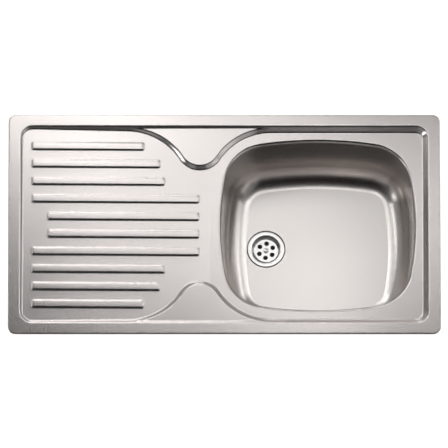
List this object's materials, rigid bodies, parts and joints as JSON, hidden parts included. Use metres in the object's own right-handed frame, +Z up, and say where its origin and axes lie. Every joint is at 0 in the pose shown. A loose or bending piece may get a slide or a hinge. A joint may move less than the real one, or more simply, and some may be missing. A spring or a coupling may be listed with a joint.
{
  "type": "kitchen sink with drainboard",
  "caption": "Inset stainless-steel kitchen sink: one bowl with bowed sides, a ribbed sloping drainboard, two rounded tap ledges, a grid waste, and swing-out fixing clips under the rim.",
  "frame": {"origin": "centre of the rim, on the top of the worktop that the sink is let into", "axes": "+X along the worktop towards the bowl, +Y towards the wall behind, +Z up"},
  "size_m": [0.815, 0.435, 0.2118],
  "materials": {
    "deck_steel": "fine brushed stainless steel, grain along the length",
    "bowl_steel": "satin drawn stainless steel",
    "waste_steel": "polished pressed stainless steel",
    "plated_steel": "bright zinc plate",
    "brass": "turned brass",
    "white_plastic": "moulded polypropylene",
    "black_rubber": "matt rubber",
    "seal_foam": "closed-cell foam strip",
    "damping_pad": "matt bitumen damping sheet"
  },
  "bodies": {
    "sink": {"sink_deck": "deck_steel", "bowl": "bowl_steel", "waste_grate": "waste_steel", "waste_screw": "waste_steel", "upper_gasket": "black_rubber", "lower_gasket": "black_rubber", "waste_body": "white_plastic", "waste_nut": "brass", "sound_pad": "damping_pad", "seal_back": "seal_foam", "seal_front": "seal_foam", "seal_left": "seal_foam", "seal_right": "seal_foam", "clip_bracket_1": "plated_steel", "clip_bracket_2": "plated_steel", "clip_bracket_3": "plated_steel", "clip_bracket_4": "plated_steel", "clip_bracket_5": "plated_steel", "clip_bracket_6": "plated_steel", "clip_bracket_7": "plated_steel", "clip_bracket_8": "plated_steel"},
    "screw_1": {"clip_screw_1": "plated_steel"},
    "claw_1": {"clip_claw_1": "plated_steel"},
    "screw_2": {"clip_screw_2": "plated_steel"},
    "claw_2": {"clip_claw_2": "plated_steel"},
    "screw_3": {"clip_screw_3": "plated_steel"},
    "claw_3": {"clip_claw_3": "plated_steel"},
    "screw_4": {"clip_screw_4": "plated_steel"},
    "claw_4": {"clip_claw_4": "plated_steel"},
    "screw_5": {"clip_screw_5": "plated_steel"},
    "claw_5": {"clip_claw_5": "plated_steel"},
    "screw_6": {"clip_screw_6": "plated_steel"},
    "claw_6": {"clip_claw_6": "plated_steel"},
    "screw_7": {"clip_screw_7": "plated_steel"},
    "claw_7": {"clip_claw_7": "plated_steel"},
    "screw_8": {"clip_screw_8": "plated_steel"},
    "claw_8": {"clip_claw_8": "plated_steel"}
  },
  "joints": [
    {"name": "clip_tighten_1", "type": "slide", "parent": "sink", "child": "screw_1", "axis": [0, 0, 1], "range_m": [0, 0.02]},
    {"name": "claw_swing_1", "type": "hinge", "parent": "screw_1", "child": "claw_1", "pos_m": [-0.3, 0.178, -0.063], "axis": [0, 0, 1], "range_deg": [0, 90]},
    {"name": "clip_tighten_2", "type": "slide", "parent": "sink", "child": "screw_2", "axis": [0, 0, 1], "range_m": [0, 0.02]},
    {"name": "claw_swing_2", "type": "hinge", "parent": "screw_2", "child": "claw_2", "pos_m": [-0.0465, 0.178, -0.063], "axis": [0, 0, 1], "range_deg": [0, 90]},
    {"name": "clip_tighten_3", "type": "slide", "parent": "sink", "child": "screw_3", "axis": [0, 0, 1], "range_m": [0, 0.02]},
    {"name": "claw_swing_3", "type": "hinge", "parent": "screw_3", "child": "claw_3", "pos_m": [0.2358, 0.178, -0.063], "axis": [0, 0, 1], "range_deg": [0, 90]},
    {"name": "clip_tighten_4", "type": "slide", "parent": "sink", "child": "screw_4", "axis": [0, 0, 1], "range_m": [0, 0.02]},
    {"name": "claw_swing_4", "type": "hinge", "parent": "screw_4", "child": "claw_4", "pos_m": [-0.3, -0.178, -0.063], "axis": [0, 0, 1], "range_deg": [0, 90]},
    {"name": "clip_tighten_5", "type": "slide", "parent": "sink", "child": "screw_5", "axis": [0, 0, 1], "range_m": [0, 0.02]},
    {"name": "claw_swing_5", "type": "hinge", "parent": "screw_5", "child": "claw_5", "pos_m": [-0.0465, -0.178, -0.063], "axis": [0, 0, 1], "range_deg": [0, 90]},
    {"name": "clip_tighten_6", "type": "slide", "parent": "sink", "child": "screw_6", "axis": [0, 0, 1], "range_m": [0, 0.02]},
    {"name": "claw_swing_6", "type": "hinge", "parent": "screw_6", "child": "claw_6", "pos_m": [0.2358, -0.178, -0.063], "axis": [0, 0, 1], "range_deg": [0, 90]},
    {"name": "clip_tighten_7", "type": "slide", "parent": "sink", "child": "screw_7", "axis": [0, 0, 1], "range_m": [0, 0.02]},
    {"name": "claw_swing_7", "type": "hinge", "parent": "screw_7", "child": "claw_7", "pos_m": [-0.368, 0, -0.063], "axis": [0, 0, 1], "range_deg": [0, 90]},
    {"name": "clip_tighten_8", "type": "slide", "parent": "sink", "child": "screw_8", "axis": [0, 0, 1], "range_m": [0, 0.02]},
    {"name": "claw_swing_8", "type": "hinge", "parent": "screw_8", "child": "claw_8", "pos_m": [0.368, 0, -0.063], "axis": [0, 0, 1], "range_deg": [0, 90]}
  ]
}
